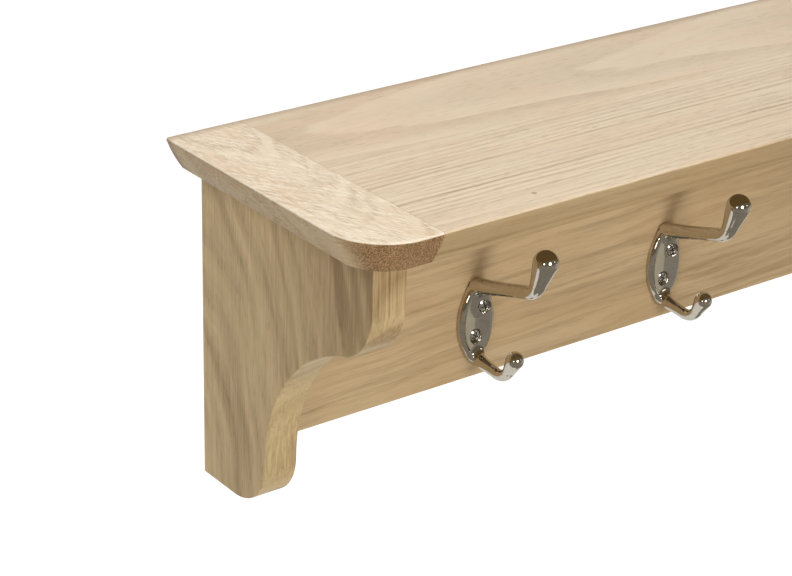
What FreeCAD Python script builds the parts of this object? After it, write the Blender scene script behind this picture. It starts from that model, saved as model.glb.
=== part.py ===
import FreeCAD, Part
import math
import os
from FreeCAD import Vector

# Wall-hung oak coat rack: a beveled shelf on two ogee brackets, and a back rail with double hooks.
# Millimetres. X runs along the shelf, +Y into the wall with the wall's face at Y = 0, and +Z up.
# The origin lies midway between the two keyhole entries, on the wall's face.

# Shelf
SHELF_LENGTH = 1000.0
SHELF_DEPTH = 182.0
SHELF_THICKNESS = 19.5
SHELF_TOP = 50.0
CORNER_RADIUS = 34.0
BEVEL_INSET = 9.8
BEVEL_START_ANGLE = 21.0
ARRIS_RADIUS = 1.2
BACK_STAVE_WIDTH = 80.0

# End caps and the tongues that hold them
CAP_WIDTH = 46.5
TONGUE_LENGTH = 7.0
TONGUE_THICKNESS = 6.5
TONGUE_STOP = 15.0
GLUE_GAP = 0.1
GROOVE_EXTRA_DEPTH = 0.5

# Brackets
BRACKET_THICKNESS = 21.0
BRACKET_INSET = 21.6
BRACKET_REACH = 158.0
BRACKET_HEIGHT = 189.2
BRACKET_FRONT_HEIGHT = 27.4
NOSE_RADIUS = 36.0
COVE_RADIUS = 101.0
FOOT_DEPTH = 62.0
EASED_EDGE = 0.8

# Back rail
RAIL_THICKNESS = 18.0
RAIL_HEIGHT = 171.2

# Hooks: positions of the plate's middle on the rail, and the casting's main sizes
HOOK_COUNT = 5
HOOK_PITCH = 150.0
HOOK_DROP = 152.8
PLATE_HALF_WIDTH = 13.4
PLATE_HALF_HEIGHT = 25.8
PLATE_END_RADIUS = 7.8
RIM_HEIGHT = 4.8
RIM_CREST = 4.1
RIM_CREST_HALF = 0.7
RIM_CREST_DROPS = (0.1, 0.35)
RIM_OUTER_SWELL = (1.4, 3.0)
RIM_INNER_SWELL = (5.4, 3.0)
RIM_WIDTH = 6.2
FLOOR_HEIGHT = 2.1

# Arm centrelines in the hook's middle plane: distance from the rail, height from the plate's middle.
# An arm's girths are its radii at the plate, halfway to the bend, at the bend's two ends, and at the ball.
UPPER_ROOT = (1.5, 22.6)
UPPER_ELBOW = (54.8, 38.4)
UPPER_TIP = (62.5, 60.3)
UPPER_BEND = 12.0
UPPER_GIRTHS = (5.0, 3.9, 3.6, 4.1, 6.9)
LOWER_ROOT = (1.0, -20.9)
LOWER_ELBOW = (30.8, -27.0)
LOWER_TIP = (39.4, -11.1)
LOWER_BEND = 12.0
LOWER_GIRTHS = (5.2, 3.6, 3.3, 3.5, 5.4)
STRAIGHT_STATIONS = 6
BEND_STATIONS = 7
RISE_STATIONS = 5
BALL_STATIONS = [20, 38, 54, 68, 79, 87]

# Screws that hold a hook: places in the dish as (across, up), and sizes
HOOK_SCREW_PLACES = [(5.2, 8.9), (-0.8, -9.2)]
HOOK_SCREW_TURNS = [20, 65]
HOOK_SCREW_DOME = 1.1
HOOK_SCREW_LENGTH = 16.0
HOOK_SCREW_HEAD_RADIUS = 3.6
HOOK_SCREW_RADIUS = 2.0
HOOK_SCREW_CORE = 1.35
HOOK_SCREW_PITCH = 1.6
HOOK_HOLE_RADIUS = 2.15
PILOT_EXTRA_DEPTH = 0.5

# Shape of every screw: its tip against its radius, its thread against the pitch, its cross against the head
SCREW_TIP = 2.2
THREAD_HALF = 0.28
THREAD_SUNK = 0.08
THREAD_START = 0.5
DOME_SHOULDER = (0.55, 0.72)
CROSS_REACH = 0.62
CROSS_HALF = 0.11
CROSS_DEPTH = 0.45

# Dowels
DOWEL_CHAMFER = 0.8
DOWEL_END_GAP = 1.0
END_DOWEL_RADIUS = 4.0
END_DOWEL_LENGTH = 38.0
END_DOWEL_IN_BRACKET = 12.0
END_DOWEL_DROPS = [25.0, 85.0, 145.0]
TOP_DOWEL_RADIUS = 3.0
TOP_DOWEL_LENGTH = 29.0
TOP_DOWEL_IN_SHELF = 11.0
BRACKET_DOWEL_DEPTHS = [35.0, 85.0, 135.0]
RAIL_DOWEL_PLACES = [-360.0, -120.0, 120.0, 360.0]

# Keyhole plates in the back of the rail
KEYHOLE_SPACING = 800.0
KEYHOLE_ENTRY_RADIUS = 4.5
KEYHOLE_SLOT_RADIUS = 2.5
KEYHOLE_DROP = 10.0
KEYPLATE_THICKNESS = 2.0
KEYPLATE_WIDTH = 16.0
KEYPLATE_HEIGHT = 46.0
KEYPLATE_POCKET_DEPTH = 8.0
KEYPLATE_POCKET_MARGIN = 1.5
KEYPLATE_SCREW_PLACES = [18.0, -16.0]
KEYPLATE_SCREW_LENGTH = 12.0
KEYPLATE_SCREW_HEAD_RADIUS = 2.9
KEYPLATE_SCREW_RADIUS = 1.5
KEYPLATE_SCREW_CORE = 1.0
KEYPLATE_SCREW_PITCH = 1.2
KEYPLATE_HOLE_RADIUS = 1.7

# Places worked out from the sizes above
SHELF_BOTTOM = SHELF_TOP - SHELF_THICKNESS
PANEL_HALF = SHELF_LENGTH / 2 - CAP_WIDTH
BRACKET_OUTSIDE = SHELF_LENGTH / 2 - BRACKET_INSET
BRACKET_INSIDE = BRACKET_OUTSIDE - BRACKET_THICKNESS
BRACKET_MIDDLE = BRACKET_OUTSIDE - BRACKET_THICKNESS / 2
RAIL_MIDDLE_Y = -RAIL_THICKNESS / 2
HOOK_HEIGHT = SHELF_TOP - HOOK_DROP
HOOK_SCREW_RIM = FLOOR_HEIGHT + 0.3

X_AXIS = Vector(1, 0, 0)
Y_AXIS = Vector(0, 1, 0)
Z_AXIS = Vector(0, 0, 1)
FRONTWARD = Vector(0, -1, 0)
ORIGIN = Vector(0, 0, 0)


def box(low, high):
    size = Vector(*high) - Vector(*low)
    return Part.makeBox(size.x, size.y, size.z, Vector(*low))


def fused(solids):
    whole = solids[0].multiFuse(solids[1:]) if len(solids) > 1 else solids[0]
    return whole.removeSplitter()


def mirrored(shape):
    return shape.mirror(ORIGIN, X_AXIS)


def edge_section(reach):
    """Face in the XZ plane: the shelf's edge from `reach` inside its outline, which faces -X."""
    tilt = math.radians(BEVEL_START_ANGLE)
    centre_x = -(reach - ARRIS_RADIUS)
    centre_z = -ARRIS_RADIUS

    def on_arris(angle):
        x = centre_x - ARRIS_RADIUS * math.cos(angle)
        return Vector(x, 0, centre_z + ARRIS_RADIUS * math.sin(angle))

    arris_top = on_arris(math.pi / 2)
    arris_end = on_arris(-tilt)
    foot = Vector(-(reach - BEVEL_INSET), 0, -SHELF_THICKNESS)
    chord = foot - arris_end
    lean = math.atan2(chord.x, -chord.z)
    bulge = chord.Length / 2 * math.tan((lean - tilt) / 2)
    outward = Vector(-math.cos(lean), 0, -math.sin(lean))
    bevel_middle = (arris_end + foot) * 0.5 + outward * bulge

    inner_top = Vector(0, 0, 0)
    inner_foot = Vector(0, 0, -SHELF_THICKNESS)
    edges = [
        Part.makeLine(inner_top, arris_top),
        Part.Arc(arris_top, on_arris(math.pi / 4), arris_end).toShape(),
        Part.Arc(arris_end, bevel_middle, foot).toShape(),
        Part.makeLine(foot, inner_foot),
        Part.makeLine(inner_foot, inner_top),
    ]
    return Part.Face(Part.Wire(edges))


def front_section(reach):
    """The same edge section, turned so that the shelf's outline faces -Y."""
    section = edge_section(reach)
    section.rotate(ORIGIN, Z_AXIS, 90)
    return section


def tongue(extra, extra_length):
    """Tongue on the panel's left end, grown by `extra` on each face to make its groove."""
    middle = SHELF_TOP - SHELF_THICKNESS / 2
    half = TONGUE_THICKNESS / 2 + extra
    front = -(SHELF_DEPTH - CORNER_RADIUS) - extra
    back = -TONGUE_STOP + extra
    end = -PANEL_HALF - TONGUE_LENGTH - extra_length
    return box((end, front, middle - half), (-PANEL_HALF, back, middle + half))


def back_stave():
    board = box((-PANEL_HALF, -BACK_STAVE_WIDTH, SHELF_BOTTOM), (PANEL_HALF, 0, SHELF_TOP))
    left = tongue(0, 0).common(board.translated(Vector(-TONGUE_LENGTH, 0, 0)))
    board = fused([board, left, mirrored(left)])
    return board.cut(rail_dowels())


def front_stave():
    section = front_section(SHELF_DEPTH - BACK_STAVE_WIDTH)
    section.translate(Vector(-PANEL_HALF, -BACK_STAVE_WIDTH, SHELF_TOP))
    board = section.extrude(Vector(2 * PANEL_HALF, 0, 0))
    low = (-PANEL_HALF - TONGUE_LENGTH, -SHELF_DEPTH, SHELF_BOTTOM)
    left = tongue(0, 0).common(box(low, (0, -BACK_STAVE_WIDTH, SHELF_TOP)))
    return fused([board, left, mirrored(left)])


def end_cap():
    """The left end cap: a straight side edge, a quarter turn at the corner and a short front edge."""
    corner = Vector(-SHELF_LENGTH / 2 + CORNER_RADIUS, -(SHELF_DEPTH - CORNER_RADIUS), SHELF_TOP)
    side = edge_section(CORNER_RADIUS)
    side.translate(corner)
    straight = side.extrude(Vector(0, -corner.y, 0))
    turn = side.revolve(corner, Z_AXIS, 90)
    front = front_section(CORNER_RADIUS)
    front.translate(corner)
    short = front.extrude(Vector(-PANEL_HALF - corner.x, 0, 0))
    middle = box((corner.x, corner.y, SHELF_BOTTOM), (-PANEL_HALF, 0, SHELF_TOP))
    cap = fused([straight, turn, short, middle])
    groove = tongue(GLUE_GAP, GROOVE_EXTRA_DEPTH)
    return cap.cut(groove).cut(bracket_dowels())


def bracket_outline():
    """Closed ogee outline in the YZ plane: upright front, round nose, long cove and rounded foot."""
    top = SHELF_BOTTOM
    bottom = top - BRACKET_HEIGHT
    nose = Vector(0, -BRACKET_REACH + NOSE_RADIUS, top - BRACKET_FRONT_HEIGHT)
    cove_y = -FOOT_DEPTH - COVE_RADIUS
    apart = NOSE_RADIUS + COVE_RADIUS
    cove = Vector(0, cove_y, nose.z - math.sqrt(apart ** 2 - (nose.y - cove_y) ** 2))
    meet = nose + (cove - nose) * (NOSE_RADIUS / apart)
    toe_radius = cove.z - bottom
    toe = Vector(0, -FOOT_DEPTH + toe_radius, cove.z)

    def halfway(centre, radius, start, end):
        middle = ((start - centre).normalize() + (end - centre).normalize()).normalize()
        return centre + middle * radius

    nose_start = Vector(0, -BRACKET_REACH, nose.z)
    cove_end = Vector(0, -FOOT_DEPTH, cove.z)
    toe_end = Vector(0, toe.y, bottom)
    corners = [Vector(0, 0, bottom), Vector(0, 0, top), Vector(0, -BRACKET_REACH, top)]
    return Part.Wire([
        Part.makeLine(corners[0], corners[1]),
        Part.makeLine(corners[1], corners[2]),
        Part.makeLine(corners[2], nose_start),
        Part.Arc(nose_start, halfway(nose, NOSE_RADIUS, nose_start, meet), meet).toShape(),
        Part.Arc(meet, halfway(cove, COVE_RADIUS, meet, cove_end), cove_end).toShape(),
        Part.Arc(cove_end, halfway(toe, toe_radius, cove_end, toe_end), toe_end).toShape(),
        Part.makeLine(toe_end, corners[0]),
    ])


def bracket():
    """The left bracket, with its visible long edges eased."""
    face = Part.Face(bracket_outline())
    face.translate(Vector(-BRACKET_OUTSIDE, 0, 0))
    board = face.extrude(Vector(BRACKET_THICKNESS, 0, 0))

    def is_eased(edge):
        low = edge.BoundBox
        flat_to_side = low.XLength < 0.01
        against_wall = low.YMin > -0.01
        against_shelf = low.ZMin > SHELF_BOTTOM - 0.01
        return flat_to_side and not against_wall and not against_shelf

    board = board.makeFillet(EASED_EDGE, [edge for edge in board.Edges if is_eased(edge)])
    return board.cut(bracket_dowels()).cut(end_dowels())


def back_rail():
    top = SHELF_BOTTOM
    board = box((-BRACKET_INSIDE, -RAIL_THICKNESS, top - RAIL_HEIGHT), (BRACKET_INSIDE, 0, top))

    def is_front_bottom(edge):
        bounds = edge.BoundBox
        return bounds.YMax < -RAIL_THICKNESS + 0.01 and bounds.ZMax < top - RAIL_HEIGHT + 0.01

    board = board.makeFillet(EASED_EDGE, [edge for edge in board.Edges if is_front_bottom(edge)])
    cuts = [end_dowels(), mirrored(end_dowels()), rail_dowels()]
    cuts += [pilot for centre in hook_centres() for pilot in hook_pilots(centre)]
    cuts += [pocket for centre in keyhole_centres() for pocket in keyhole_pockets(centre)]
    return board.cut(cuts)


def dowel(radius, length, start, direction):
    peg = Part.makeCylinder(radius, length, start, direction)
    rims = [edge for edge in peg.Edges if edge.Closed and isinstance(edge.Curve, Part.Circle)]
    return peg.makeChamfer(DOWEL_CHAMFER, rims)


def dowel_holes(radius, length, start, direction):
    bottom = start - direction * DOWEL_END_GAP
    return Part.makeCylinder(radius, length + 2 * DOWEL_END_GAP, bottom, direction)


def end_pegs(make):
    """Pegs or their holes, from the left bracket into the rail's end grain."""
    start_x = -BRACKET_INSIDE - END_DOWEL_IN_BRACKET
    places = [Vector(start_x, RAIL_MIDDLE_Y, SHELF_BOTTOM - drop) for drop in END_DOWEL_DROPS]
    return Part.makeCompound([make(END_DOWEL_RADIUS, END_DOWEL_LENGTH, place, X_AXIS) for place in places])


def bracket_pegs(make):
    """Pegs or their holes, from the left bracket's top end up into the end cap."""
    start_z = SHELF_BOTTOM + TOP_DOWEL_IN_SHELF - TOP_DOWEL_LENGTH
    places = [Vector(-BRACKET_MIDDLE, -depth, start_z) for depth in BRACKET_DOWEL_DEPTHS]
    return Part.makeCompound([make(TOP_DOWEL_RADIUS, TOP_DOWEL_LENGTH, place, Z_AXIS) for place in places])


def rail_pegs(make):
    """Pegs or their holes, from the rail's top edge up into the back stave."""
    start_z = SHELF_BOTTOM + TOP_DOWEL_IN_SHELF - TOP_DOWEL_LENGTH
    places = [Vector(x, RAIL_MIDDLE_Y, start_z) for x in RAIL_DOWEL_PLACES]
    return Part.makeCompound([make(TOP_DOWEL_RADIUS, TOP_DOWEL_LENGTH, place, Z_AXIS) for place in places])


def end_dowels():
    return end_pegs(dowel_holes)


def bracket_dowels():
    return bracket_pegs(dowel_holes)


def rail_dowels():
    return rail_pegs(dowel_holes)


def wood_screw(head_radius, radius, core, pitch, length, dome):
    """Countersunk cross-head screw along +Z, point down, with its head's rim at Z = 0."""
    head_depth = head_radius - radius
    tip_start = -(length - SCREW_TIP * radius)
    dome_top = Vector(0, 0, dome)
    dome_middle = Vector(head_radius * DOME_SHOULDER[0], 0, dome * DOME_SHOULDER[1])
    rim = Vector(head_radius, 0, 0)
    flat_head = Part.makeLine(dome_top, rim)
    shaft = [
        rim,
        Vector(radius, 0, -head_depth),
        Vector(core, 0, -head_depth - (radius - core)),
        Vector(core, 0, tip_start),
        Vector(0, 0, -length),
        dome_top,
    ]
    edges = [Part.Arc(dome_top, dome_middle, rim).toShape() if dome > 0 else flat_head]
    edges += [Part.makeLine(start, end) for start, end in zip(shaft, shaft[1:])]
    body = Part.Face(Part.Wire(edges)).revolve(ORIGIN, Z_AXIS, 360)

    thread_top = -head_depth - (radius - core) - THREAD_START * pitch
    helix = Part.makeHelix(pitch, thread_top - tip_start, core)
    half = THREAD_HALF * pitch
    root = core - THREAD_SUNK * pitch
    flank = [Vector(root, 0, -half), Vector(radius, 0, 0), Vector(root, 0, half)]
    profile = Part.makePolygon(flank + [flank[0]])
    thread = Part.Wire(helix.Edges).makePipeShell([profile], True, True)
    thread.translate(Vector(0, 0, tip_start))

    reach = head_radius * CROSS_REACH
    half = head_radius * CROSS_HALF
    bottom = -head_radius * CROSS_DEPTH
    top = dome + 1
    cross = [
        box((-reach, -half, bottom), (reach, half, top)),
        box((-half, -reach, bottom), (half, reach, top)),
    ]
    return body.fuse(thread).cut(cross).Solids[0]


def hook_centres():
    first = -HOOK_PITCH * (HOOK_COUNT - 1) / 2
    across = [first + HOOK_PITCH * number for number in range(HOOK_COUNT)]
    return [Vector(x, -RAIL_THICKNESS, HOOK_HEIGHT) for x in across]


def hook_screws():
    """The two screws of a hook whose plate's middle is at the origin, heads facing -Y."""
    screws = []
    for turn, (across, up) in zip(HOOK_SCREW_TURNS, HOOK_SCREW_PLACES):
        screw = wood_screw(HOOK_SCREW_HEAD_RADIUS, HOOK_SCREW_RADIUS, HOOK_SCREW_CORE, HOOK_SCREW_PITCH,
                           HOOK_SCREW_LENGTH, HOOK_SCREW_DOME)
        screw.rotate(ORIGIN, Z_AXIS, turn)
        screw.rotate(ORIGIN, X_AXIS, 90)
        screw.translate(Vector(across, -HOOK_SCREW_RIM, up))
        screws.append(screw)
    return Part.makeCompound(screws)


def hook_pilots(centre):
    """Pilot holes in the rail for one hook's screws, as wide as the screw's core."""
    depth = HOOK_SCREW_LENGTH - HOOK_SCREW_RIM + PILOT_EXTRA_DEPTH
    places = [centre + Vector(across, 0, up) for across, up in HOOK_SCREW_PLACES]
    return [Part.makeCylinder(HOOK_SCREW_CORE, depth, place, Y_AXIS) for place in places]


def rim_section(radius):
    """Face of the plate's swelling rim in the XY plane, its outer foot at X = `radius`."""
    def at(inward, height):
        return Vector(radius - inward, -height, 0)

    foot = at(0, 0)
    crest_start = at(RIM_CREST - RIM_CREST_HALF, RIM_HEIGHT - RIM_CREST_DROPS[0])
    crest = at(RIM_CREST, RIM_HEIGHT)
    crest_end = at(RIM_CREST + RIM_CREST_HALF, RIM_HEIGHT - RIM_CREST_DROPS[1])
    inner = at(RIM_WIDTH, FLOOR_HEIGHT)
    inner_foot = at(RIM_WIDTH, 0)
    return Part.Face(Part.Wire([
        Part.Arc(foot, at(*RIM_OUTER_SWELL), crest_start).toShape(),
        Part.Arc(crest_start, crest, crest_end).toShape(),
        Part.Arc(crest_end, at(*RIM_INNER_SWELL), inner).toShape(),
        Part.makeLine(inner, inner_foot),
        Part.makeLine(inner_foot, foot),
    ]))


def hook_plate():
    """Oval plate of two long side arcs and two end arcs: a swelling rim round a sunk floor."""
    end_height = PLATE_HALF_HEIGHT - PLATE_END_RADIUS
    side_radius = (PLATE_HALF_WIDTH ** 2 + end_height ** 2 - PLATE_END_RADIUS ** 2)
    side_radius /= 2 * (PLATE_HALF_WIDTH - PLATE_END_RADIUS)
    side_centre = side_radius - PLATE_HALF_WIDTH
    meet = math.degrees(math.atan2(end_height, side_centre))

    def turned(shape, angle, centre):
        shape = shape.copy()
        shape.rotate(ORIGIN, Y_AXIS, -angle)
        return shape.translated(centre)

    arcs = [
        (Vector(-side_centre, 0, 0), side_radius, -meet, 2 * meet),
        (Vector(0, 0, end_height), PLATE_END_RADIUS, meet, 180 - 2 * meet),
        (Vector(side_centre, 0, 0), side_radius, 180 - meet, 2 * meet),
        (Vector(0, 0, -end_height), PLATE_END_RADIUS, 180 + meet, 180 - 2 * meet),
    ]
    rim = []
    floor_edges = []
    for centre, radius, start, sweep in arcs:
        rim.append(turned(rim_section(radius).revolve(ORIGIN, Y_AXIS, -sweep), start, centre))
        inside = Vector(radius - RIM_WIDTH, 0, 0)
        ends = [turned(Part.Vertex(inside), start + sweep * part, centre).Point for part in (0, 0.5, 1)]
        floor_edges.append(Part.Arc(*ends).toShape())
    floor = Part.Face(Part.Wire(floor_edges)).extrude(Vector(0, -FLOOR_HEIGHT, 0))
    return fused(rim + [floor])


def between(marks, distance):
    """Value at a distance along a path, from (distance, value) marks joined by straight lines."""
    for (low, first), (high, second) in zip(marks, marks[1:]):
        if distance <= high:
            return first + (second - first) * (distance - low) / (high - low)
    return marks[-1][1]


def arm(root, elbow, tip, bend, girths):
    """Round arm: a straight run from the plate, a bend, and a rise that swells to a ball."""
    start = Vector(0, -root[0], root[1])
    corner = Vector(0, -elbow[0], elbow[1])
    ball = Vector(0, -tip[0], tip[1])
    along = (corner - start).normalize()
    upward = (ball - corner).normalize()
    turn = along.getAngle(upward)
    cut_back = bend * math.tan(turn / 2)
    bend_start = corner - along * cut_back
    centre = bend_start + (upward - along * math.cos(turn)).normalize() * bend
    heading = math.atan2(along.z, -along.y)
    straight = (bend_start - start).Length
    curve = bend * turn
    rise = (ball - corner).Length - cut_back
    ends = (0, straight / 2, straight, straight + curve, straight + curve + rise)
    marks = list(zip(ends, girths))

    def ring(point, lean, size):
        circle = Part.makeCircle(size)
        circle.rotate(ORIGIN, X_AXIS, 90 - math.degrees(lean))
        circle.translate(point)
        return Part.Wire([circle])

    rings = []
    for station in range(STRAIGHT_STATIONS):
        distance = straight * station / STRAIGHT_STATIONS
        rings.append(ring(start + along * distance, heading, between(marks, distance)))
    for station in range(BEND_STATIONS):
        swing = turn * station / BEND_STATIONS
        lean = heading + swing
        point = centre + Vector(0, -math.sin(lean), -math.cos(lean)) * bend
        rings.append(ring(point, lean, between(marks, straight + bend * swing)))
    for station in range(RISE_STATIONS + 1):
        distance = rise * station / RISE_STATIONS
        point = corner + upward * (cut_back + distance)
        rings.append(ring(point, heading + turn, between(marks, straight + curve + distance)))
    for swing in BALL_STATIONS:
        beyond = girths[-1] * math.sin(math.radians(swing))
        size = girths[-1] * math.cos(math.radians(swing))
        rings.append(ring(ball + upward * beyond, heading + turn, size))
    return Part.makeLoft(rings, True)


def hook():
    """One casting, with its plate's middle at the origin and its back flat on the rail."""
    arms = [
        arm(UPPER_ROOT, UPPER_ELBOW, UPPER_TIP, UPPER_BEND, UPPER_GIRTHS),
        arm(LOWER_ROOT, LOWER_ELBOW, LOWER_TIP, LOWER_BEND, LOWER_GIRTHS),
    ]
    casting = hook_plate().multiFuse(arms)
    behind = box((-50, 0, -100), (50, 50, 100))
    casting = casting.cut(behind)
    seat_depth = HOOK_SCREW_HEAD_RADIUS - HOOK_SCREW_RADIUS
    room_for_head = 12
    for across, up in HOOK_SCREW_PLACES:
        back = Vector(across, 0, up)
        rim = Vector(across, -HOOK_SCREW_RIM, up)
        through = Part.makeCylinder(HOOK_HOLE_RADIUS, HOOK_SCREW_RIM, back, FRONTWARD)
        seat = Part.makeCone(HOOK_SCREW_HEAD_RADIUS, HOOK_SCREW_RADIUS, seat_depth, rim, Y_AXIS)
        above = Part.makeCylinder(HOOK_SCREW_HEAD_RADIUS, room_for_head, rim, FRONTWARD)
        casting = casting.cut([through, seat, above])
    return casting.removeSplitter()


def keyhole_centres():
    return [Vector(side * KEYHOLE_SPACING / 2, 0, 0) for side in (-1, 1)]


def rounded_bar(half_width, low, high, depth):
    """Upright bar with round ends, from the wall's face `depth` into the rail."""
    ends = [Part.makeCylinder(half_width, depth, Vector(0, 0, z), FRONTWARD) for z in (low, high)]
    return fused(ends + [box((-half_width, -depth, low), (half_width, 0, high))])


def keyhole_plate():
    """Flat steel plate with a round entry and a narrow slot above it, centred on the entry."""
    half = KEYPLATE_WIDTH / 2
    reach = KEYPLATE_HEIGHT / 2 - half
    plate = rounded_bar(half, -reach, reach, KEYPLATE_THICKNESS)
    entry = Part.makeCylinder(KEYHOLE_ENTRY_RADIUS, KEYPLATE_THICKNESS, ORIGIN, FRONTWARD)
    slot = rounded_bar(KEYHOLE_SLOT_RADIUS, 0, KEYHOLE_DROP, KEYPLATE_THICKNESS)
    plate = plate.cut([entry, slot])
    seat_depth = KEYPLATE_SCREW_HEAD_RADIUS - KEYPLATE_SCREW_RADIUS
    for place in [Vector(0, 0, up) for up in KEYPLATE_SCREW_PLACES]:
        through = Part.makeCylinder(KEYPLATE_HOLE_RADIUS, KEYPLATE_THICKNESS, place, FRONTWARD)
        seat = Part.makeCone(KEYPLATE_SCREW_HEAD_RADIUS, KEYPLATE_SCREW_RADIUS, seat_depth, place, FRONTWARD)
        plate = plate.cut([through, seat])
    return plate


def keyhole_screws():
    screws = []
    for up in KEYPLATE_SCREW_PLACES:
        screw = wood_screw(KEYPLATE_SCREW_HEAD_RADIUS, KEYPLATE_SCREW_RADIUS, KEYPLATE_SCREW_CORE,
                           KEYPLATE_SCREW_PITCH, KEYPLATE_SCREW_LENGTH, 0.0)
        screw.rotate(ORIGIN, X_AXIS, -90)
        screw.translate(Vector(0, 0, up))
        screws.append(screw)
    return Part.makeCompound(screws)


def keyhole_pockets(centre):
    """Cuts in the rail for one keyhole plate, the head of the wall's screw behind it and its own screws."""
    half = KEYPLATE_WIDTH / 2
    reach = KEYPLATE_HEIGHT / 2 - half
    room = KEYHOLE_ENTRY_RADIUS + KEYPLATE_POCKET_MARGIN
    depth = KEYPLATE_SCREW_LENGTH + PILOT_EXTRA_DEPTH
    cuts = [
        rounded_bar(half, -reach, reach, KEYPLATE_THICKNESS),
        rounded_bar(room, 0, KEYHOLE_DROP, KEYPLATE_POCKET_DEPTH),
    ]
    for up in KEYPLATE_SCREW_PLACES:
        cuts.append(Part.makeCylinder(KEYPLATE_SCREW_CORE, depth, Vector(0, 0, up), FRONTWARD))
    return [cut.translated(centre) for cut in cuts]


def build():
    nodes = {
        "shelf_back_stave": back_stave(),
        "shelf_front_stave": front_stave(),
        "end_cap_left": end_cap(),
        "bracket_left": bracket(),
        "back_rail": back_rail(),
        "rail_end_dowels_left": end_pegs(dowel),
        "bracket_top_dowels_left": bracket_pegs(dowel),
        "rail_top_dowels": rail_pegs(dowel),
    }
    for left in ("end_cap", "bracket", "rail_end_dowels", "bracket_top_dowels"):
        nodes[left + "_right"] = mirrored(nodes[left + "_left"])

    casting = hook()
    screws = hook_screws()
    for number, centre in enumerate(hook_centres(), 1):
        nodes["hook_%d" % number] = casting.translated(centre)
        nodes["hook_%d_screws" % number] = screws.translated(centre)

    plate = keyhole_plate()
    plate_screws = keyhole_screws()
    for side, centre in zip(("left", "right"), keyhole_centres()):
        nodes["keyhole_plate_" + side] = plate.translated(centre)
        nodes["keyhole_plate_screws_" + side] = plate_screws.translated(centre)
    return nodes


os.makedirs("parts", exist_ok=True)
for name, shape in build().items():
    solids = shape.Solids
    valid = all(solid.isValid() for solid in solids)
    bounds = shape.BoundBox
    print("%-26s solids %d valid %s volume %.0f  X %.1f..%.1f  Y %.1f..%.1f  Z %.1f..%.1f" % (
        name, len(solids), valid, shape.Volume, bounds.XMin, bounds.XMax, bounds.YMin, bounds.YMax,
        bounds.ZMin, bounds.ZMax))
    shape.exportStep("parts/%s.step" % name)
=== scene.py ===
import bpy
import math
import numpy as np
from mathutils import Matrix, Vector


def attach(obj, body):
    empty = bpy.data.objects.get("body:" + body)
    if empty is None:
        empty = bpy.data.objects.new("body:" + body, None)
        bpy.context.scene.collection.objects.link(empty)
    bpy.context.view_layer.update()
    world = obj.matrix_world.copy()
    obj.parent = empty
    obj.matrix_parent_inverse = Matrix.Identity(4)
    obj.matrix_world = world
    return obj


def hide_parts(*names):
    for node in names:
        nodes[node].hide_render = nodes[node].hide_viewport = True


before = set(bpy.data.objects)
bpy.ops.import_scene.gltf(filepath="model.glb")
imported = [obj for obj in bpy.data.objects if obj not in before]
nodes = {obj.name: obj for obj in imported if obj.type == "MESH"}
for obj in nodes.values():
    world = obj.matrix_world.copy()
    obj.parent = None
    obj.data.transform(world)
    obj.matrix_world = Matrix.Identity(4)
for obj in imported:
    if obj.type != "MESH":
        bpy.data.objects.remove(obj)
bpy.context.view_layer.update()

# The view: a long lens from the front left, a little above the shelf, that takes in the left end of the rack.
# The picture is 792 by 576 and its middle is the lens's axis.
VIEW_PLACE = (-1.130185, -1.040967, 0.524837)
VIEW_HEADING = math.radians(-37.0227)
VIEW_DOWN = math.radians(24.7975)
VIEW_ROLL = math.radians(1.4473)
VIEW_LENS = 111.354
VIEW_SENSOR = 36.0
VIEW_NEAREST = 0.05
VIEW_FURTHEST = 60.0

camera = bpy.data.objects.new("view", bpy.data.cameras.new("view"))
bpy.context.scene.collection.objects.link(camera)
camera.data.lens = VIEW_LENS
camera.data.sensor_width = VIEW_SENSOR
camera.data.clip_start = VIEW_NEAREST
camera.data.clip_end = VIEW_FURTHEST
camera.matrix_world = (Matrix.Translation(VIEW_PLACE)
                       @ Matrix.Rotation(VIEW_HEADING, 4, "Z")
                       @ Matrix.Rotation(math.pi / 2 - VIEW_DOWN, 4, "X")
                       @ Matrix.Rotation(VIEW_ROLL, 4, "Z"))
bpy.context.scene.camera = camera
bpy.context.scene.view_settings.view_transform = "Standard"


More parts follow.
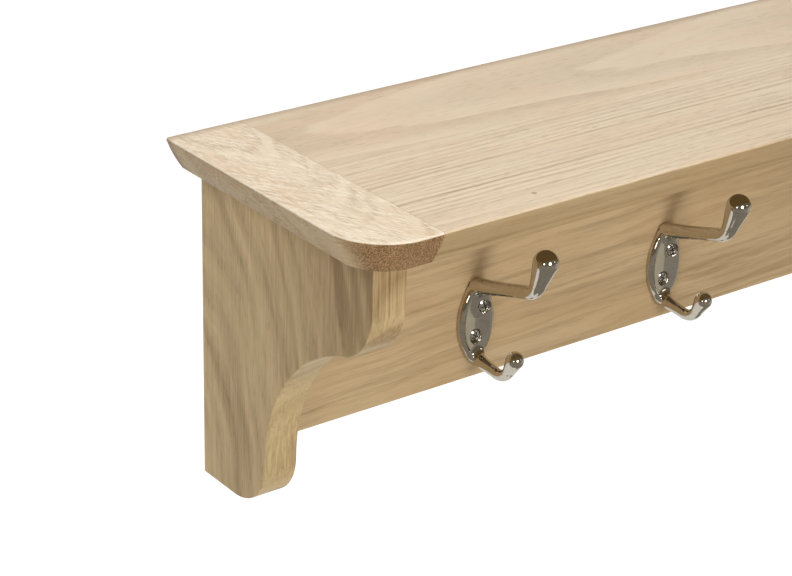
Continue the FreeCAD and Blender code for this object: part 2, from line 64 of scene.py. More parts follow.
# The studio: a pale room with a pale floor well below the hanging rack, lit by soft lamps. The floor is clear
# from below, so that the rack's underside can be looked at. Each material is written with Wire, which lets
# Python's operators stand for Math nodes.
class Wire:
    """An output socket in a material, or the material itself where it has no socket."""

    def __init__(self, tree, socket=None):
        self.tree = tree
        self.socket = socket

    def node(self, kind, settings=None, sockets=None, out=0):
        """Adds a node of a kind: its settings come first, then the values or links of its sockets."""
        made = self.tree.nodes.new("ShaderNode" + kind)
        for key, value in (settings or {}).items():
            if key == "stops":
                ramp = made.color_ramp
                while len(ramp.elements) < len(value):
                    ramp.elements.new(0.5)
                for element, (position, tone) in zip(ramp.elements, value):
                    element.position = position
                    element.color = tone if isinstance(tone, tuple) else (tone, tone, tone, 1)
            else:
                setattr(made, key, value)
        for key, value in (sockets or {}).items():
            if isinstance(value, Wire):
                self.tree.links.new(value.socket, made.inputs[key])
            else:
                made.inputs[key].default_value = value
        return Wire(self.tree, made.outputs[out] if made.outputs else None)

    def math(self, operation, *values):
        """A Math node on numbers and on sockets that carry numbers."""
        return self.node("Math", {"operation": operation}, dict(enumerate(values)))

    def __add__(self, other):
        return self.math("ADD", self, other)

    __radd__ = __add__

    def __mul__(self, other):
        return self.math("MULTIPLY", self, other)

    __rmul__ = __mul__

    def __sub__(self, other):
        return self.math("SUBTRACT", self, other)

    def __rsub__(self, other):
        return self.math("SUBTRACT", other, self)

    def __truediv__(self, other):
        return self.math("DIVIDE", self, other)

    def __pow__(self, other):
        return self.math("POWER", self, other)

    def __abs__(self):
        return self.math("ABSOLUTE", self)

    def step(self, low, high):
        """Rises smoothly from 0 where this value is `low` to 1 where it is `high`."""
        sockets = {"Value": self, "From Min": low, "From Max": high}
        return self.node("MapRange", {"interpolation_type": "SMOOTHSTEP"}, sockets)

    def blend(self, first, second):
        """Colour that goes from `first` to `second` as this value goes from 0 to 1."""
        sockets = {0: self, 6: first, 7: second}
        return self.node("Mix", {"data_type": "RGBA"}, sockets, out=2)

    def scaled(self, scale):
        """This vector with each component multiplied by its own factor."""
        return self.node("VectorMath", {"operation": "MULTIPLY"}, {0: self, 1: scale})

    def tinted(self, colour):
        """This colour multiplied by another one."""
        settings = {"data_type": "RGBA", "blend_type": "MULTIPLY"}
        return self.node("Mix", settings, {0: 1.0, 6: self, 7: colour}, out=2)

    def noise(self, spread, detail=2.0, rough=0.5, distortion=0.0):
        """Noise from 0 to 1 at this place, whose patches are `spread` long along each axis."""
        place = self.scaled(tuple(1 / length for length in spread))
        return self.node("TexNoise", {}, {"Vector": place, "Scale": 1.0, "Detail": detail, "Roughness": rough,
                                          "Distortion": distortion})


def paint(name):
    """A new material's Wire, with nothing in its tree yet."""
    material = bpy.data.materials.new(name)
    material.use_nodes = True
    material.node_tree.nodes.clear()
    return Wire(material.node_tree), material


def tone(red, green, blue):
    """Colour written in a screen's 0 to 255, as the linear values that sockets take."""
    def linear(value):
        value /= 255
        return value / 12.92 if value <= 0.04045 else ((value + 0.055) / 1.055) ** 2.4
    return (linear(red), linear(green), linear(blue), 1)


def seen(wire, mirrored=1.0):
    """1 for what the camera or a clear piece sees, `mirrored` for a mirror, 0 for the light on things."""
    path = wire.node("LightPath")
    glossy = Wire(wire.tree, path.socket.node.outputs["Is Glossy Ray"]) * mirrored
    through = Wire(wire.tree, path.socket.node.outputs["Is Transmission Ray"])
    return path.math("MAXIMUM", path.math("MAXIMUM", path, glossy), through)


# The room is white to the camera, and gives things this much of white's light.
ROOM_LIGHT = 0.34
world = bpy.data.worlds.new("pale_room")
bpy.context.scene.world = world
world.use_nodes = True
world.node_tree.nodes.clear()
room = Wire(world.node_tree)
room_level = seen(room) * (1 - ROOM_LIGHT) + ROOM_LIGHT
room.node("OutputWorld", {}, {0: room.node("Background", {}, {0: (1, 1, 1, 1), 1: room_level})})

# The floor's depth below the rack's origin, half its width, its own colour, the glow that makes it white to
# the camera, and the share of that glow that polished metal mirrors.
FLOOR_DROP = 0.80
FLOOR_HALF = 9.0
FLOOR_TONE = (0.82, 0.82, 0.82, 1)
FLOOR_GLOW = 0.75
FLOOR_MIRRORED = 0.5
floor_mesh = bpy.data.meshes.new("floor")
floor_corners = [(x * FLOOR_HALF, y * FLOOR_HALF, -FLOOR_DROP)
                 for x, y in ((-1, -1), (1, -1), (1, 1), (-1, 1))]
floor_mesh.from_pydata(floor_corners, [], [(0, 1, 2, 3)])
floor = bpy.data.objects.new("floor", floor_mesh)
bpy.context.scene.collection.objects.link(floor)
wire, floor_paint = paint("pale_floor")
matt = wire.node("BsdfDiffuse", {}, {"Color": FLOOR_TONE})
glow = wire.node("Emission", {}, {0: (1, 1, 1, 1), 1: seen(wire, FLOOR_MIRRORED) * FLOOR_GLOW})
upper = wire.node("AddShader", {}, {0: matt, 1: glow})
from_below = wire.node("NewGeometry", out="Backfacing")
clear = wire.node("BsdfTransparent")
wire.node("OutputMaterial", {}, {0: wire.node("MixShader", {}, {0: from_below, 1: upper, 2: clear})})
floor_mesh.materials.append(floor_paint)

# The lamps are round and face the left part of the rack. Each has its direction from there, its distance and
# width in metres, its power in watts and its colour. The chrome mirrors all but the key and the low one.
AIM = Vector((-0.33, -0.08, -0.03))
LAMPS = {
    "overhead": ((-0.05, -0.20, 1.0), 1.9, 1.5, 18.5, (1, 1, 1)),
    "key": ((-0.72, -0.26, 0.64), 1.3, 0.9, 4.0, (1, 0.99, 0.97)),
    "front": ((0.0, -0.98, 0.21), 1.1, 0.46, 3.4, (1, 0.98, 0.95)),
    "left": ((-0.78, -0.60, 0.21), 1.1, 0.26, 0.75, (1, 0.98, 0.95)),
    "right": ((0.73, -0.66, 0.17), 1.1, 0.12, 0.12, (1, 0.98, 0.95)),
    "low": ((-0.14, -0.80, -0.58), 1.15, 0.65, 4.4, (1, 0.97, 0.93)),
}
UNMIRRORED_LAMPS = ("key", "low")
for name, (direction, distance, size, power, colour) in LAMPS.items():
    lamp = bpy.data.objects.new("lamp_" + name, bpy.data.lights.new("lamp_" + name, "AREA"))
    lamp.data.shape = "DISK"
    lamp.data.size = size
    lamp.data.energy = power
    lamp.data.color = colour
    towards = Vector(direction).normalized()
    lamp.location = AIM + towards * distance
    lamp.rotation_euler = towards.to_track_quat("Z", "Y").to_euler()
    lamp.visible_glossy = name not in UNMIRRORED_LAMPS
    bpy.context.scene.collection.objects.link(lamp)

# Dark screens behind the lamps, in front of the rack only, are the dim end of a real room. The chrome mirrors
# them, they add a little light of their colour, and the camera doesn't see them. Each is a piece of a ball
# round the rack, cut off above the floor: turns from straight ahead and heights in degrees, then its colour.
SCREEN_RADIUS = 1.45
SCREEN_DROP = 0.75
SCREEN_ROWS = 13
SCREEN_COLUMNS = 25
LEAST_FALL = 0.01
SCREENS = {
    "screen_floor": ((-108, 100), (-78, -32), (0.27, 0.25, 0.21, 1)),
    "screen_left": ((-108, 12), (-32, -6), (0.29, 0.26, 0.23, 1)),
    "screen_right": ((12, 52), (-32, -6), (0.31, 0.29, 0.26, 1)),
    "screen_side": ((52, 100), (-32, -6), (0.52, 0.47, 0.38, 1)),
    "screen_top": ((-108, 110), (-6, 70), (0.17, 0.145, 0.10, 1)),
}
for name, (turns, heights, colour) in SCREENS.items():
    wire, screen_paint = paint(name)
    wire.node("OutputMaterial", {}, {0: wire.node("Emission", {}, {0: colour, 1: 1.0})})
    rows = []
    for height in np.radians(np.linspace(*heights, SCREEN_ROWS)):
        distance = min(SCREEN_RADIUS, SCREEN_DROP / max(-math.sin(height), LEAST_FALL))
        flat, up = math.cos(height), math.sin(height)
        rows.append([AIM + Vector((math.sin(turn) * flat, -math.cos(turn) * flat, up)) * distance
                     for turn in np.radians(np.linspace(*turns, SCREEN_COLUMNS))])
    firsts = [row * SCREEN_COLUMNS + column
              for row in range(SCREEN_ROWS - 1) for column in range(SCREEN_COLUMNS - 1)]
    faces = [(first, first + 1, first + 1 + SCREEN_COLUMNS, first + SCREEN_COLUMNS) for first in firsts]
    mesh = bpy.data.meshes.new(name)
    mesh.from_pydata([corner for row in rows for corner in row], [], faces)
    mesh.materials.append(screen_paint)
    screen = bpy.data.objects.new(name, mesh)
    bpy.context.scene.collection.objects.link(screen)
    for kind in ("camera", "transmission", "volume_scatter", "shadow"):
        setattr(screen, "visible_" + kind, False)

# A dark card close under the shelf and down the top of the rail stands for the shelf's deep shade. Only the
# chrome sees it. Its folds are (out from the wall, height) and its ends are along the shelf, in metres.
CARD_ENDS = (-0.455, 0.455)
CARD_FOLDS = ((-0.0185, -0.022), (-0.0185, 0.0298), (-0.176, 0.0298))
CARD_TONE = (0.14, 0.088, 0.035, 1)
wire, card_paint = paint("shade_card")
wire.node("OutputMaterial", {}, {0: wire.node("Emission", {}, {0: CARD_TONE, 1: 1.0})})
card_mesh = bpy.data.meshes.new("shade_card")
card_mesh.from_pydata([(x, y, z) for y, z in CARD_FOLDS for x in CARD_ENDS], [], [(0, 1, 3, 2), (2, 3, 5, 4)])
card_mesh.materials.append(card_paint)
card = bpy.data.objects.new("shade_card", card_mesh)
bpy.context.scene.collection.objects.link(card)
for kind in ("camera", "diffuse", "transmission", "volume_scatter", "shadow"):
    setattr(card, "visible_" + kind, False)


# The shelf's two staves: planed oak glued edge to edge, the back one plain-sawn, the front one rift-sawn.
# Their grain runs along the shelf, and the front stave's front edge is beveled.
MM_IN_METRE = 1000
# The marks of all the rack's oak. Each has its size along, across and through a board in millimetres, and the
# levels of noise at which it starts and is full.
SHIVER_SIZE = (34, 6, 6)
BREAK_SIZE, BREAK_LEVELS = (50, 3, 3), (0.35, 0.65)
PORE_SIZE, PORE_LEVELS = (9, 0.8, 0.8), (0.55, 0.70)
PATCH_SIZE, PATCH_LEVELS = (90, 24, 24), (0.42, 0.72)
STREAK_SIZE, STREAK_LEVELS = (150, 1.7, 1.7), (0.35, 0.65)
FLECK_SIZE, FLECK_LEVELS = (6, 1.1, 1.1), (0.50, 0.62)
SPECK_SIZE, SPECK_LEVELS = (1.6, 0.7, 1.0), (0.38, 0.60)
FIBRE_WIDTH = 1.4
BAND_YEARS = 1.1
BAND_LENGTH = 160
BAND_WIDTH = 300
FLECK_LEAN = 0.5
FLECK_TONE = tone(252, 240, 220)
# The colour of the painted highlight on the rounded upper edges.
ARRIS_HIGHLIGHT_TONE = tone(255, 246, 230)
SPECK_DARK = 0.33
# The palest year's strength, how open the late wood's pores are, and the wood's depth before any mark.
LEAST_YEAR = 0.2
LATE_PORES = 0.35
PLAIN_DEPTH = 0.12
# How squarely a face looks sideways to count as narrow, and how much of the painted shade is taken off there.
NARROW_FACE = (0.30, 0.80)
NARROW_PAINTED_SHADE = 0.5
# Distances over which knots, glued joints and the strip by the wall fade, and how dark they are.
KNOT_RADIUS, KNOT_DARK = (0.5, 2.2), 0.7
SEAM_HALF, SEAM_DARK = (0.1, 0.7), 0.35
BACK_START, BACK_DARK = 0.3, 0.5
OAK_ROUGH, PORE_ROUGH, END_ROUGH = 0.40, 0.2, 0.18
OAK_GLOSS = 0.22
GRAIN_RELIEF = 0.4
GRAIN_HEIGHT = 0.0004


def oak(name, order, heart, lean, ring, tones, drift=(1.0, 140, 22), ripple=0.6, taper=0.0, year=0.5,
        rise=0.08, fade=0.8, broken=0.0, bands=0.0, streaks=0.0, pores=0.5, fibre=0.3, strand=60.0,
        patch=0.35, flecks=0.0, ends=(0.75, 0.98), zones=None, shade=None, edge=None, arris=0.0, back=0.0,
        seams=(), knots=()):
    """Oak sawn from one log: growth rings about a heart line, pores and fibres along the grain.

    Lengths are in millimetres. A strength of 0 leaves its mark out, and 1 is full.
    `order` gives the object's axes along, across and through the board.
    `heart` is the heart line's place across and through the board, `lean` its shift for a millimetre along.
    `ring` is a year's growth, and `taper` what the rings lose for each millimetre along.
    `drift` is how far the rings wander, then the length and width of a wave. `ripple` is how far they shiver.
    `tones` are the pale wood, the dark wood, the pores, the patches and the end grain.
    `year` is the strength of each year's early wood, which comes in over the share `rise` of the year and is
    gone by the share `fade`. `broken` is how much it is broken up along the grain.
    `bands`, `streaks`, `pores`, `fibre`, `patch` and `flecks` are strengths: of bands many years wide, of
    upright streaks on a front edge, of pores, fibres and patches, and of ray flecks. `strand` is a fibre's
    length.
    `ends` says how squarely a face cuts the fibres where its end grain starts to show and where it is full.
    `zones` are (place across the board, strength) marks for the early wood, and `shade` such marks for
    painted shade: how much darker the wood is drawn where less light falls. `edge` is the tint of the narrow
    faces, for their darker edge grain and for painted shade. `arris` is the strength of a painted highlight
    on the rounded upper edges, and `back` the width of the darker strip by the wall.
    `seams` are (0 along or 1 across, place) of glued joints, `knots` (along, across) places of pin knots.
    """
    wire, material = paint(name)
    pale, dark, pore_tone, patch_tone, end_tone = tones
    whole = wire.node("TexCoord", out="Object").scaled((MM_IN_METRE, MM_IN_METRE, MM_IN_METRE))
    place_split = whole.node("SeparateXYZ", {}, {0: whole}).socket.node.outputs
    along, across, through = (Wire(wire.tree, place_split[axis]) for axis in order)
    from_wall = abs(Wire(wire.tree, place_split[1]))
    board = wire.node("CombineXYZ", {}, {0: along, 1: across, 2: through})
    normal = wire.node("NewGeometry", out="Normal")
    facing_split = normal.node("SeparateXYZ", {}, {0: normal}).socket.node.outputs
    end_on, edge_on = (abs(Wire(wire.tree, facing_split[axis])) for axis in order[:2])
    skyward = Wire(wire.tree, facing_split[2])

    def marked(marks):
        """The level that marks across the board give at this place."""
        first, last = marks[0][0], marks[-1][0]
        stops = [((place - first) / (last - first), level) for place, level in marks]
        return wire.node("ValToRGB", {"stops": stops}, {0: (across - first) / (last - first)})

    # Growth rings: the place's distance from the heart line, made uneven, counted in years.
    reach, long, wide = drift
    wander = (board.noise((long, wide, wide), 1.0) - 0.5) * (4 * reach)
    shiver = (board.noise(SHIVER_SIZE, 2.0) - 0.5) * (4 * ripple)
    u = across - along * lean[0] - heart[0]
    v = through - along * lean[1] - heart[1]
    years = ((u * u + v * v) ** 0.5 - along * taper + wander + shiver) / ring
    age = years.math("FRACT", years)
    strength = years.node("TexWhiteNoise", {"noise_dimensions": "1D"}, {"W": years.math("FLOOR", years)})
    in_season = age.step(0.0, rise) * (1 - age.step(rise + 0.02, fade))
    early = in_season * (strength * (1 - LEAST_YEAR) + LEAST_YEAR)
    if broken:
        early = early * (1 - board.noise(BREAK_SIZE, 2.0).step(*BREAK_LEVELS) * broken)
    if zones:
        early = early * marked(zones)

    # How dark the wood is: years, fibres, bands, streaks and painted shade, added up and then coloured.
    vessels = board.noise(PORE_SIZE, 1.0, 0.6).step(*PORE_LEVELS) * (early * (1 - LATE_PORES) + LATE_PORES)
    fibres = board.noise((strand, FIBRE_WIDTH, FIBRE_WIDTH), 3.0, 0.75)
    depth = early * year + (fibres - 0.5) * (2 * fibre) + PLAIN_DEPTH
    if bands:
        belts = wire.node("CombineXYZ", {}, {0: years, 1: along / BAND_LENGTH, 2: across / BAND_WIDTH})
        depth = depth + (belts.noise((BAND_YEARS, 1, 1), 4.0, 0.62) - 0.5) * (2 * bands)
    if streaks:
        upright = edge_on.step(0.5, 0.9) * (1 - end_on.step(0.1, 0.5)) * streaks
        depth = depth + (board.noise(STREAK_SIZE, 1.0).step(*STREAK_LEVELS) - 0.5) * upright
    # Painted shade from the marks, drawn half as strong on the narrow faces.
    if shade:
        depth = depth + marked(shade) * (1 - (edge_on + end_on).step(*NARROW_FACE) * NARROW_PAINTED_SHADE)
    colour = depth.blend(pale, dark)
    colour = (board.noise(PATCH_SIZE, 2.0).step(*PATCH_LEVELS) * patch).blend(colour, patch_tone)
    if flecks:
        slanted = wire.node("CombineXYZ", {}, {0: along, 1: across + along * FLECK_LEAN, 2: through})
        rays = slanted.noise(FLECK_SIZE, 2.0, 0.6, 0.3).step(*FLECK_LEVELS)
        colour = (rays * flecks).blend(colour, FLECK_TONE)
    # The narrow faces' tint: their darker edge grain together with painted shade.
    if edge:
        narrow = (edge_on + end_on).step(*NARROW_FACE) * (1 - skyward.step(0.05, 0.45))
        colour = colour.tinted(narrow.blend((1, 1, 1, 1), edge))
    colour = (vessels * pores).blend(colour, pore_tone)

    # End grain, a painted highlight on the rounded upper edges, pin knots, the strip by the wall and glued
    # joints lie over it.
    end = end_on.step(*ends) * (1 - skyward.step(0.0, 0.4))
    speckle = board.noise(SPECK_SIZE, 2.0, 0.7).step(*SPECK_LEVELS)
    speck_tone = tuple(value * SPECK_DARK for value in end_tone[:3]) + (1,)
    colour = end.blend(colour, (speckle * 0.85 + early * 0.15).blend(end_tone, speck_tone))
    # A painted highlight along the rounded upper edges, between the top and the sides.
    if arris:
        highlit_arris = skyward.step(0.0, 0.3) * (1 - skyward.step(0.90, 0.995))
        colour = (highlit_arris * arris).blend(colour, ARRIS_HIGHLIGHT_TONE)
    for place in knots:
        spot = ((along - place[0]) ** 2 + (across - place[1]) ** 2) ** 0.5
        colour = ((1 - spot.step(*KNOT_RADIUS)) * KNOT_DARK).blend(colour, pore_tone)
    if back:
        colour = ((1 - from_wall.step(BACK_START, back)) * BACK_DARK).blend(colour, pore_tone)
    for axis, place in seams:
        gap = 1 - abs((along, across)[axis] - place).step(*SEAM_HALF)
        colour = (gap * SEAM_DARK).blend(colour, pore_tone)

    height = fibres * 0.25 - vessels * 0.6 - early * 0.15 - end * speckle * 0.5
    bump = height.node("Bump", {}, {"Strength": GRAIN_RELIEF, "Distance": GRAIN_HEIGHT, "Height": height})
    rough = OAK_ROUGH + vessels * PORE_ROUGH + end * END_ROUGH
    sockets = {"Base Color": colour, "Roughness": rough, "Normal": bump, "Specular IOR Level": OAK_GLOSS}
    wire.node("OutputMaterial", {}, {0: wire.node("BsdfPrincipled", {}, sockets)})
    return material


def dress(names, material):
    """Gives CAD nodes one material."""
    for name in names:
        slots = nodes[name].data.materials
        slots.clear()
        slots.append(material)


TOP_TONES = (tone(236, 218, 190), tone(186, 158, 124), tone(150, 122, 90), tone(232, 202, 172),
             tone(140, 106, 74))
# The front bevel's tint: darker edge grain and painted shade.
BEVEL_GRAIN_AND_SHADE = (0.69, 0.62, 0.48, 1)
CAP_JOINT = 453.5
CAP_SEAMS = [(0, -CAP_JOINT), (0, CAP_JOINT)]
FRONT_ZONES = [(-184, 1.0), (-174, 0.7), (-170, 0.2), (-164, 0.2), (-160, 1.0), (-128, 0.9), (-124, 0.25),
               (-120, 1.0), (-98, 0.9), (-92, 0.3), (-80, 0.3)]
ALONG_THE_SHELF = (0, 1, 2)
dress(["shelf_back_stave"],
      oak("oak_back_stave", ALONG_THE_SHELF, (-35, -157.66), (0, 0.02), 4.0, TOP_TONES, drift=(0.6, 120, 20),
          ripple=0.2, year=0.42, fade=1.0, bands=0.2, pores=0.3, fibre=0.2, patch=0.5, back=8.0,
          seams=CAP_SEAMS))
dress(["shelf_front_stave"],
      oak("oak_front_stave", ALONG_THE_SHELF, (40, 20), (0, 0), 4.3, TOP_TONES, drift=(1.0, 130, 16),
          ripple=0.35, year=0.85, fade=0.7, broken=0.5, bands=0.5, pores=0.6, fibre=0.5, patch=0.3,
          zones=FRONT_ZONES, edge=BEVEL_GRAIN_AND_SHADE, seams=CAP_SEAMS, knots=[(-385, -167)]))


# The end caps: oak boards across the shelf's ends, grooved over the staves' tongues and glued.
# Their grain runs from the wall to the front, so their front edges and round corners are end grain.
CAP_TONES = (tone(240, 222, 195), tone(186, 156, 120), tone(142, 110, 80), tone(230, 200, 168),
             tone(190, 152, 110))
# The caps' narrow faces' tint: darker end grain and painted shade.
CAP_EDGE_GRAIN_AND_SHADE = (0.79, 0.72, 0.57, 1)
WALL_TO_FRONT = (1, 0, 2)
# The caps carry a painted highlight along their rounded upper edges.
for side, middle in (("left", -472), ("right", 468)):
    cap_paint = oak("oak_end_cap_" + side, WALL_TO_FRONT, (middle, 44), (0, 0), 11.0, CAP_TONES,
                    drift=(3.0, 24, 9), ripple=1.2, taper=0.5, year=0.35, rise=0.3, fade=1.0, bands=0.9,
                    pores=0.15, fibre=0.9, strand=12, patch=0.5, flecks=0.8, ends=(0.15, 0.60),
                    edge=CAP_EDGE_GRAIN_AND_SHADE, arris=0.5, back=8.0)
    dress(["end_cap_" + side], cap_paint)


# The brackets: ogee boards with upright grain, doweled up into the end caps.
# Their sides are plain-sawn with broad leaning bands; their curved front edges show the grain edge on.
SIDE_TONES = (tone(240, 213, 167), tone(164, 135, 96), tone(124, 98, 70), tone(216, 198, 148),
              tone(184, 160, 120))
# The brackets' front edges' tint: darker edge grain and painted shade.
FRONT_EDGE_GRAIN_AND_SHADE = (0.90, 0.90, 0.88, 1)
# Painted shade on the brackets: darker towards the front, under the shelf's overhang.
SIDE_PAINTED_SHADE = [(-160, 0.60), (-110, 0.40), (-60, 0.10), (0, 0.0)]
UPRIGHT = (2, 1, 0)
for side, heart, lean in (("left", (45, -378), 0.5), ("right", (38, 378), -0.5)):
    bracket_paint = oak("oak_bracket_" + side, UPRIGHT, heart, (0, lean), 13.0, SIDE_TONES,
                        drift=(7.0, 110, 42), ripple=0.4, year=0.3, rise=0.4, fade=1.0, bands=0.9,
                        streaks=0.35, pores=0.35, fibre=0.5, patch=0.35, shade=SIDE_PAINTED_SHADE,
                        edge=FRONT_EDGE_GRAIN_AND_SHADE)
    dress(["bracket_" + side], bracket_paint)


# The back rail: a wide oak board between the brackets, doweled to them and up into the shelf.
# It is plain-sawn, with its grain along its length, and carries the hooks.
RAIL_TONES = (tone(220, 195, 156), tone(160, 132, 95), tone(134, 106, 74), tone(214, 184, 142),
              tone(150, 118, 80))
ALONG_THE_RAIL = (0, 2, 1)
rail_paint = oak("oak_rail", ALONG_THE_RAIL, (160, 60), (0.03, 0.02), 6.6, RAIL_TONES, drift=(3.0, 85, 22),
                 ripple=0.7, year=0.32, rise=0.35, fade=1.0, broken=0.6, bands=1.1, pores=0.2, fibre=0.5,
                 patch=0.5)
dress(["back_rail"], rail_paint)


# The dowels: short beech pegs with chamfered ends, hidden inside the joints.
PEG_TONES = (tone(222, 190, 146), tone(200, 162, 116), tone(176, 136, 94), tone(224, 186, 140),
             tone(188, 150, 106))
dress(["rail_end_dowels_left", "rail_end_dowels_right"],
      oak("beech_end_pegs", ALONG_THE_SHELF, (0, 40), (0, 0), 2.5, PEG_TONES, year=0.2, pores=0.1))
dress(["bracket_top_dowels_left", "bracket_top_dowels_right", "rail_top_dowels"],
      oak("beech_top_pegs", UPRIGHT, (0, 40), (0, 0), 2.5, PEG_TONES, year=0.2, pores=0.1))


# The hooks: double hooks cast in one piece, polished and chrome plated, each with a dished oval plate. Both
# arms sweep out of the plate and end in balls. Two screws in the dish hold each hook to the rail.
# Sizes are in millimetres: across the plate, out from the rail, and up from the plate's middle.
HOOK_NUMBERS = range(1, 6)
MIDDLE_HOOK = 3
HOOK_PITCH = 150.0
HOOK_HEIGHT = -102.8
RAIL_FACE = -18.0
PLATE_HALF_WIDTH = 13.4
PLATE_HALF_HEIGHT = 25.8
PLATE_END_RADIUS = 7.8
# The rim's section is half an oval: its middle is this far in from the plate's edge, and its half width and
# height are these. The crest where the dish cuts into it is rounded.
RIM_MIDDLE = 4.2
RIM_HALF = (4.2, 4.9)
RIM_FOOT = 0.2
RIM_CREST = 1.2
# The dish is a shallow oval bowl: flat in its middle for about DISH_ROUND, then rising at DISH_SLOPE.
DISH_HEIGHT = 2.1
DISH_SLOPE = 0.40
DISH_ROUND = 2.8
DISH_SHAPE = 0.45
SCREW_PLACES = [(5.2, 8.9), (-0.8, -9.2)]
SCREW_SEAT = 2.1
SCREW_ROOM = 3.75
SCREW_ROOM_EDGE = 0.4
# An arm's girths are its radii at its root, midway, before and after its bend, and at its ball.
ARMS = [
    {"root": (1.5, 22.6), "elbow": (54.8, 38.4), "tip": (62.5, 60.3), "girths": (5.0, 3.9, 3.6, 4.1, 6.9)},
    {"root": (0.8, -23.8), "elbow": (30.8, -27.0), "tip": (39.4, -11.1), "girths": (4.5, 3.7, 3.3, 3.5, 5.4)},
]
ARM_FILLETS = (4.0, 5.0)
ARM_BEND = 12.0
# Girths are read from a table along the arm, which runs past both its ends and is smoothed over a window. Two
# of its steps are then brought back to the girths of the root and the ball.
TABLE_STEPS = 400
TABLE_PAST_END = 8
TABLE_WINDOW = 61
TABLE_AT_ROOT = 40
TABLE_AT_BALL = -60
# Lengths that something is divided by are at least this.
LEAST_LENGTH = 1e-6


def soft_least(first, second, reach):
    """The lesser of two fields, rounded over where they are within `reach` of each other."""
    share = np.clip(0.5 + 0.5 * (second - first) / reach, 0, 1)
    return second + (first - second) * share - reach * share * (1 - share)


def arm_field(across, place, root, elbow, tip, girths):
    """How far points are outside an arm: a straight run, a bend and a rise that swells to a ball."""
    root, elbow, tip = (np.array(point, float) for point in (root, elbow, tip))
    along = (elbow - root) / np.linalg.norm(elbow - root)
    rising = (tip - elbow) / np.linalg.norm(tip - elbow)
    turn = math.acos(along @ rising)
    cut_back = ARM_BEND * math.tan(turn / 2)
    start = elbow - along * cut_back
    straight = np.linalg.norm(start - root)
    rise = np.linalg.norm(tip - elbow) - cut_back
    curve = ARM_BEND * turn
    marks = np.array([0, straight / 2, straight, straight + curve, straight + curve + rise])
    steps = np.linspace(-TABLE_PAST_END, marks[-1] + TABLE_PAST_END, TABLE_STEPS)
    window = np.hanning(TABLE_WINDOW)
    radii = np.pad(np.interp(steps, marks, girths), TABLE_WINDOW // 2, mode="edge")
    radii = np.convolve(radii, window / window.sum(), "valid")
    lost = [girths[0] - radii[TABLE_AT_ROOT], girths[-1] - radii[TABLE_AT_BALL]]
    radii += np.interp(steps, marks[[0, -1]], lost)

    def outside(nearest, distance_along):
        """How far points are outside the arm, where its middle line is nearest to them."""
        from_line = np.hypot(across, np.linalg.norm(place - nearest, axis=1))
        return from_line - np.interp(distance_along, steps, radii)

    run = np.clip((place - root) @ along, 0, straight)
    field = outside(root + run[:, None] * along, run)
    inward = rising - along * math.cos(turn)
    inward /= np.linalg.norm(inward)
    centre = start + inward * ARM_BEND
    spoke = place - centre
    swing = np.clip(np.arctan2(spoke @ along, -(spoke @ inward)), 0, turn)
    rim = centre + ARM_BEND * (np.sin(swing)[:, None] * along - np.cos(swing)[:, None] * inward)
    field = np.minimum(field, outside(rim, straight + ARM_BEND * swing))
    climb = np.clip((place - elbow) @ rising, cut_back, cut_back + rise)
    return np.minimum(field, outside(elbow + climb[:, None] * rising, straight + curve + climb - cut_back))


def casting_field(points):
    """How far points are outside the casting: a rim and a dish, two arms, and room for two screws."""
    across, out, up = points.T
    end_height = PLATE_HALF_HEIGHT - PLATE_END_RADIUS
    side_radius = (PLATE_HALF_WIDTH ** 2 + end_height ** 2 - PLATE_END_RADIUS ** 2)
    side_radius /= 2 * (PLATE_HALF_WIDTH - PLATE_END_RADIUS)
    side_centre = side_radius - PLATE_HALF_WIDTH
    by_end = np.hypot(across, np.abs(up) - end_height) - PLATE_END_RADIUS
    by_side = np.hypot(np.abs(across) + side_centre, up) - side_radius
    in_end = (np.abs(up) - end_height) * side_centre > np.abs(across) * end_height
    inward = -np.where(in_end, by_end, by_side)
    bulge = np.stack([np.minimum(inward - RIM_MIDDLE, 0), out - RIM_FOOT])
    sizes = np.array(RIM_HALF)[:, None]
    reach = np.linalg.norm(bulge / sizes, axis=0)
    rim = reach * (reach - 1) / np.maximum(np.linalg.norm(bulge / sizes ** 2, axis=0), LEAST_LENGTH)
    from_middle = np.hypot(across, up * DISH_SHAPE)
    bowl = out - DISH_HEIGHT - DISH_SLOPE * (np.hypot(from_middle, DISH_ROUND) - DISH_ROUND)
    field = -soft_least(-rim, -bowl, RIM_CREST)
    for arm, fillet in zip(ARMS, ARM_FILLETS):
        field = soft_least(field, arm_field(across, points[:, 1:], **arm), fillet)
    for place in SCREW_PLACES:
        room = np.hypot(across - place[0], up - place[1]) - SCREW_ROOM
        room = np.maximum(room, abs(out - SCREW_SEAT - SCREW_ROOM) - SCREW_ROOM)
        field = -soft_least(-field, room, SCREW_ROOM_EDGE)
    return np.maximum(field, -out)


DRAWING_ROUNDS = 8
LONGEST_MOVE = 0.4
PROBE = 0.02


def drawn_on(points, field):
    """Points moved along the field's slope until they lie on the surface, and the slope there."""
    for _ in range(DRAWING_ROUNDS):
        value = field(points)
        rises = [field(points + step) - field(points - step) for step in np.eye(3) * PROBE]
        slope = np.stack(rises, 1) / (2 * PROBE)
        slope /= np.maximum(np.linalg.norm(slope, axis=1, keepdims=True), LEAST_LENGTH)
        points = points - np.clip(value, -LONGEST_MOVE, LONGEST_MOVE)[:, None] * slope
    return points, slope


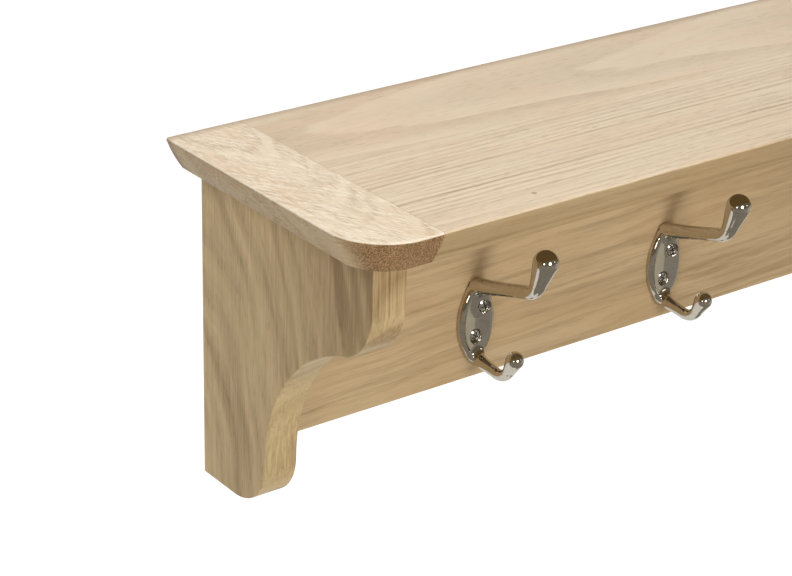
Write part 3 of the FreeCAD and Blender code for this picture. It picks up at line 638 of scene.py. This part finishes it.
# The blank is an even mesh over the middle hook's solid. Its points are drawn onto the casting's surface.
CASTING_STEP = 0.6
MERGE_DISTANCE = 0.000002
middle_solid = nodes["hook_%d" % MIDDLE_HOOK]
blank = middle_solid.copy()
blank.data = middle_solid.data.copy()
bpy.context.scene.collection.objects.link(blank)
merge = blank.modifiers.new("merge", "WELD")
merge.merge_threshold = MERGE_DISTANCE
remesh = blank.modifiers.new("even", "REMESH")
remesh.mode = "VOXEL"
remesh.voxel_size = CASTING_STEP / MM_IN_METRE
casting = bpy.data.meshes.new_from_object(blank.evaluated_get(bpy.context.evaluated_depsgraph_get()))
bpy.data.objects.remove(blank)
corners = np.zeros(len(casting.vertices) * 3)
casting.vertices.foreach_get("co", corners)
corners = corners.reshape(-1, 3) * MM_IN_METRE
local = np.stack([corners[:, 0], RAIL_FACE - corners[:, 1], corners[:, 2] - HOOK_HEIGHT], 1)
local, slope = drawn_on(local, casting_field)
# In the plate's own measures `out` runs towards -Y, so the second axis changes sign on the rack.
TO_RACK = (1, -1, 1)

UNEVEN_SIZE = (14, 14, 14)
UNEVEN_RELIEF = 0.08
UNEVEN_HEIGHT = 0.0002
SMUDGE_SIZE, SMUDGE_LEVELS = (3, 3, 3), (0.3, 0.7)
SMUDGE_TONE = 0.9
SMUDGE_ROUGH = 0.05


def metal(name, colour, rough, grain=0.0):
    """Plated or polished metal, with faint unevenness from casting and handling."""
    wire, material = paint(name)
    place = wire.node("TexCoord", out="Object").scaled((MM_IN_METRE, MM_IN_METRE, MM_IN_METRE))
    uneven = place.noise(UNEVEN_SIZE, 1.0)
    smudge = place.noise(SMUDGE_SIZE, 3.0, 0.6)
    height = uneven + smudge * grain
    bump = height.node("Bump", {}, {"Strength": UNEVEN_RELIEF, "Distance": UNEVEN_HEIGHT, "Height": height})
    dull = tuple(value * SMUDGE_TONE for value in colour[:3]) + (1,)
    sockets = {"Base Color": smudge.step(*SMUDGE_LEVELS).blend(colour, dull), "Metallic": 1.0,
               "Roughness": rough + smudge * SMUDGE_ROUGH, "Normal": bump}
    wire.node("OutputMaterial", {}, {0: wire.node("BsdfPrincipled", {}, sockets)})
    return material


chrome = metal("chrome_hooks", tone(205, 199, 187), 0.05)
for number in HOOK_NUMBERS:
    shape = casting.copy()
    centre = np.array([HOOK_PITCH * (number - MIDDLE_HOOK), RAIL_FACE, HOOK_HEIGHT])
    placed = local * TO_RACK + centre
    shape.vertices.foreach_set("co", (placed / MM_IN_METRE).ravel())
    shape.materials.clear()
    shape.materials.append(chrome)
    shape.shade_smooth()
    shape.normals_split_custom_set_from_vertices((slope * TO_RACK).tolist())
    hook = bpy.data.objects.new("cast_hook_%d" % number, shape)
    bpy.context.scene.collection.objects.link(hook)
    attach(hook, "root")
    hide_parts("hook_%d" % number)
dress(["hook_%d_screws" % number for number in HOOK_NUMBERS],
      metal("chrome_screws", tone(212, 210, 206), 0.10))


# The keyhole plates and their screws: zinc-plated steel let into the rail's back, so the rack hangs unseen.
dress(["keyhole_plate_left", "keyhole_plate_right"],
      metal("zinc_plates", tone(190, 192, 194), 0.32, 0.4))
dress(["keyhole_plate_screws_left", "keyhole_plate_screws_right"],
      metal("zinc_screws", tone(184, 186, 188), 0.3, 0.2))
